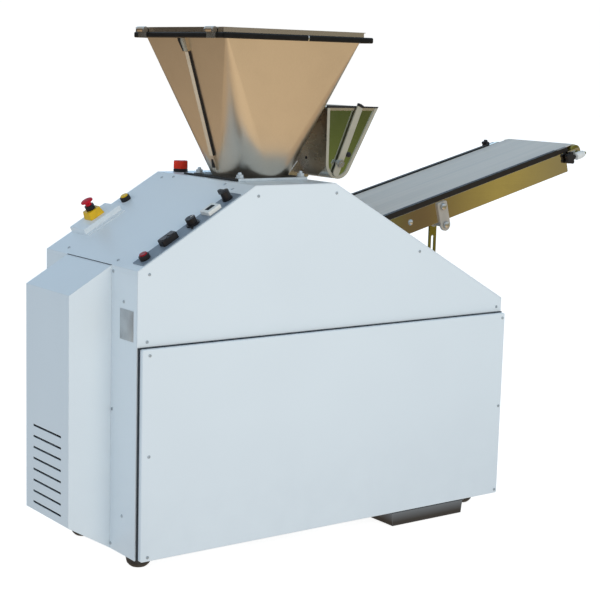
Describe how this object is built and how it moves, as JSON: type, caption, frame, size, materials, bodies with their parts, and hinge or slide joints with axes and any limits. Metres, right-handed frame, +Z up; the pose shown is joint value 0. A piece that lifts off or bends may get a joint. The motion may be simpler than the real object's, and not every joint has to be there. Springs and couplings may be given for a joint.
{
  "type": "volumetric dough divider",
  "caption": "Free-standing dough divider: square-to-round hopper on a sloped cabinet with ram and measuring drum, flour duster, tilting outfeed belt and controls.",
  "frame": {"origin": "on the floor, below the middle of the whole machine's outline", "axes": "+X from the motor cover to the outfeed tip, +Y from the door to the back, +Z up"},
  "size_m": [1.847, 0.5364, 1.465],
  "materials": {
    "white_paint": "smooth white powder coat",
    "grey_paint": "grey paint on welded bars",
    "stainless": "brushed stainless sheet",
    "machined_steel": "plain machined steel",
    "bright_steel": "bright plated steel",
    "casting": "machined casting",
    "motor_paint": "blue-grey enamel on castings",
    "black_rubber": "matte black rubber",
    "foot_rubber": "dark moulded rubber",
    "belt_cover": "smooth pale belt",
    "guide_plastic": "dark brown-black plastic",
    "black_plastic": "black moulded plastic",
    "white_plastic": "white moulded plastic",
    "red_plastic": "red moulded plastic",
    "yellow_plastic": "yellow moulded plastic",
    "lamp_plastic": "translucent red-orange lens",
    "strip_paint": "blue-grey control strip",
    "tray_paint": "dark grey sheet"
  },
  "bodies": {
    "cabinet": {"base_frame": "grey_paint", "levelling_feet": "foot_rubber", "left_end_panel": "white_paint", "right_end_panel": "white_paint", "front_upper_panel": "white_paint", "rear_panel": "white_paint", "front_door": "white_paint", "control_slope_panel": "white_paint", "top_plate": "white_paint", "outfeed_cover": "white_paint", "motor_cover": "white_paint", "hopper_shell": "stainless", "hopper_rim_trim": "black_rubber", "hopper_base_flange": "stainless", "hopper_bolts": "bright_steel", "lid_hinges": "stainless", "dough_chamber": "casting", "gearbox": "motor_paint", "main_motor": "motor_paint", "drive_belts": "black_rubber", "duster_trough": "stainless", "duster_end_plates": "stainless", "stay_stud": "machined_steel", "control_strip": "strip_paint", "control_bezels": "black_plastic", "counter_unit": "white_plastic", "estop_box": "white_paint", "estop_housing": "yellow_plastic", "beacon_base": "black_plastic", "beacon_lens": "lamp_plastic"},
    "ram": {"ram": "machined_steel"},
    "knife": {"knife": "machined_steel"},
    "measuring_drum": {"measuring_drum": "machined_steel"},
    "measuring_piston": {"measuring_piston": "machined_steel"},
    "rocker": {"rocker": "casting"},
    "crank": {"crank": "machined_steel"},
    "connecting_rod": {"connecting_rod": "machined_steel"},
    "motor_pulley": {"motor_pulley": "casting"},
    "gearbox_pulley": {"gearbox_pulley": "casting"},
    "hopper_lid": {"hopper_lid": "stainless"},
    "duster_agitator": {"duster_agitator": "machined_steel", "duster_lever": "bright_steel"},
    "conveyor": {"conveyor_frame": "stainless", "conveyor_belt": "belt_cover", "conveyor_gearmotor": "motor_paint", "guide_strips": "guide_plastic", "link_bracket": "stainless"},
    "drive_roller": {"drive_roller": "machined_steel"},
    "end_roller": {"end_roller": "machined_steel"},
    "knob_near": {"knob_near": "black_plastic"},
    "knob_far": {"knob_far": "black_plastic"},
    "stay_bar": {"stay_bar": "stainless"},
    "drip_tray": {"drip_tray": "tray_paint"},
    "red_button": {"red_button": "red_plastic"},
    "stop_button": {"stop_button": "black_plastic"},
    "start_button": {"start_button": "black_plastic"},
    "yellow_button": {"yellow_button": "yellow_plastic"},
    "speed_knob": {"speed_knob": "black_plastic"},
    "selector_knob": {"selector_knob": "black_plastic"},
    "estop_button": {"estop_button": "red_plastic"}
  },
  "joints": [
    {"name": "ram_slide", "type": "slide", "parent": "cabinet", "child": "ram", "axis": [1, 0, 0], "range_m": [0, 0.12]},
    {"name": "knife_slide", "type": "slide", "parent": "cabinet", "child": "knife", "axis": [1, 0, 0], "range_m": [0, 0.12]},
    {"name": "rocker_swing", "type": "hinge", "parent": "cabinet", "child": "rocker", "pos_m": [-0.46148, -0.00575, 0.43], "axis": [0, 1, 0], "range_deg": [0, 14.4]},
    {"name": "drum_turn", "type": "hinge", "parent": "cabinet", "child": "measuring_drum", "pos_m": [-0.14148, -0.00575, 0.9575], "axis": [0, 1, 0], "range_deg": [-90, 0]},
    {"name": "piston_slide", "type": "slide", "parent": "measuring_drum", "child": "measuring_piston", "axis": [-1, 0, 0], "range_m": [0, 0.046]},
    {"name": "gearbox_pulley_spin", "type": "hinge", "parent": "cabinet", "child": "gearbox_pulley", "pos_m": [-0.70391, 0.01375, 0.53162], "axis": [1, 0, 0], "continuous": true},
    {"name": "motor_pulley_spin", "type": "hinge", "parent": "cabinet", "child": "motor_pulley", "pos_m": [-0.73648, 0.01375, 0.212], "axis": [1, 0, 0], "continuous": true},
    {"name": "crank_turn", "type": "hinge", "parent": "cabinet", "child": "crank", "pos_m": [-0.62641, -0.04375, 0.60362], "axis": [0, 1, 0], "continuous": true},
    {"name": "rod_pivot", "type": "hinge", "parent": "crank", "child": "connecting_rod", "pos_m": [-0.64841, -0.11075, 0.60362], "axis": [0, 1, 0], "continuous": true},
    {"name": "lid_hinge", "type": "hinge", "parent": "cabinet", "child": "hopper_lid", "pos_m": [-0.54648, -0.00575, 1.4575], "axis": [0, -1, 0], "range_deg": [0, 110]},
    {"name": "duster_turn", "type": "hinge", "parent": "cabinet", "child": "duster_agitator", "pos_m": [-0.06448, -0.13375, 1.09], "axis": [0, 1, 0], "range_deg": [-30, 0]},
    {"name": "conveyor_tilt", "type": "hinge", "parent": "cabinet", "child": "conveyor", "pos_m": [-0.14506, 0.00975, 0.81747], "axis": [0, -1, 0], "range_deg": [-4, 4]},
    {"name": "stay_pivot", "type": "hinge", "parent": "conveyor", "child": "stay_bar", "pos_m": [0.33645, -0.10575, 0.89727], "axis": [0, -1, 0], "range_deg": [-6, 6]},
    {"name": "drive_roller_spin", "type": "hinge", "parent": "conveyor", "child": "drive_roller", "pos_m": [0.89918, -0.15675, 1.11282], "axis": [0, 1, 0], "continuous": true},
    {"name": "end_roller_spin", "type": "hinge", "parent": "conveyor", "child": "end_roller", "pos_m": [-0.15031, -0.15675, 0.83749], "axis": [0, 1, 0], "continuous": true},
    {"name": "knob_near_turn", "type": "hinge", "parent": "conveyor", "child": "knob_near", "pos_m": [0.86076, -0.15675, 1.09375], "axis": [0, 1, 0], "continuous": true},
    {"name": "knob_far_turn", "type": "hinge", "parent": "conveyor", "child": "knob_far", "pos_m": [0.81583, 0.17625, 1.11918], "axis": [0, 1, 0], "continuous": true},
    {"name": "tray_slide", "type": "slide", "parent": "cabinet", "child": "drip_tray", "axis": [0, -1, 0], "range_m": [0, 0.25]},
    {"name": "red_button_press", "type": "slide", "parent": "cabinet", "child": "red_button", "axis": [0.504, 0, -0.8637], "range_m": [0, 0.004], "stiffness_N_per_m": 400, "springref_m": -0.002},
    {"name": "stop_button_press", "type": "slide", "parent": "cabinet", "child": "stop_button", "axis": [0.504, 0, -0.8637], "range_m": [0, 0.004], "stiffness_N_per_m": 400, "springref_m": -0.002},
    {"name": "start_button_press", "type": "slide", "parent": "cabinet", "child": "start_button", "axis": [0.504, 0, -0.8637], "range_m": [0, 0.004], "stiffness_N_per_m": 400, "springref_m": -0.002},
    {"name": "yellow_button_press", "type": "slide", "parent": "cabinet", "child": "yellow_button", "axis": [0.504, 0, -0.8637], "range_m": [0, 0.004], "stiffness_N_per_m": 400, "springref_m": -0.002},
    {"name": "estop_press", "type": "slide", "parent": "cabinet", "child": "estop_button", "axis": [0.504, 0, -0.8637], "range_m": [0, 0.005], "stiffness_N_per_m": 500, "springref_m": -0.002},
    {"name": "speed_turn", "type": "hinge", "parent": "cabinet", "child": "speed_knob", "pos_m": [-0.60819, -0.21475, 0.94088], "axis": [-0.504, 0, 0.8637], "range_deg": [-150, 150]},
    {"name": "selector_turn", "type": "hinge", "parent": "cabinet", "child": "selector_knob", "pos_m": [-0.49937, -0.21475, 1.00438], "axis": [-0.504, 0, 0.8637], "range_deg": [-45, 45]}
  ],
  "couplings": [
    {"joint": "rocker_swing", "follows": "ram_slide", "rad_per_m": 2.0942},
    {"joint": "knife_slide", "follows": "ram_slide", "ratio": 1},
    {"joint": "motor_pulley_spin", "follows": "gearbox_pulley_spin", "ratio": 1.8889},
    {"joint": "crank_turn", "follows": "gearbox_pulley_spin", "ratio": 0.033333},
    {"joint": "rod_pivot", "follows": "gearbox_pulley_spin", "ratio": -0.033333},
    {"joint": "end_roller_spin", "follows": "drive_roller_spin", "ratio": 1},
    {"joint": "stay_pivot", "follows": "conveyor_tilt", "ratio": -0.51637}
  ]
}
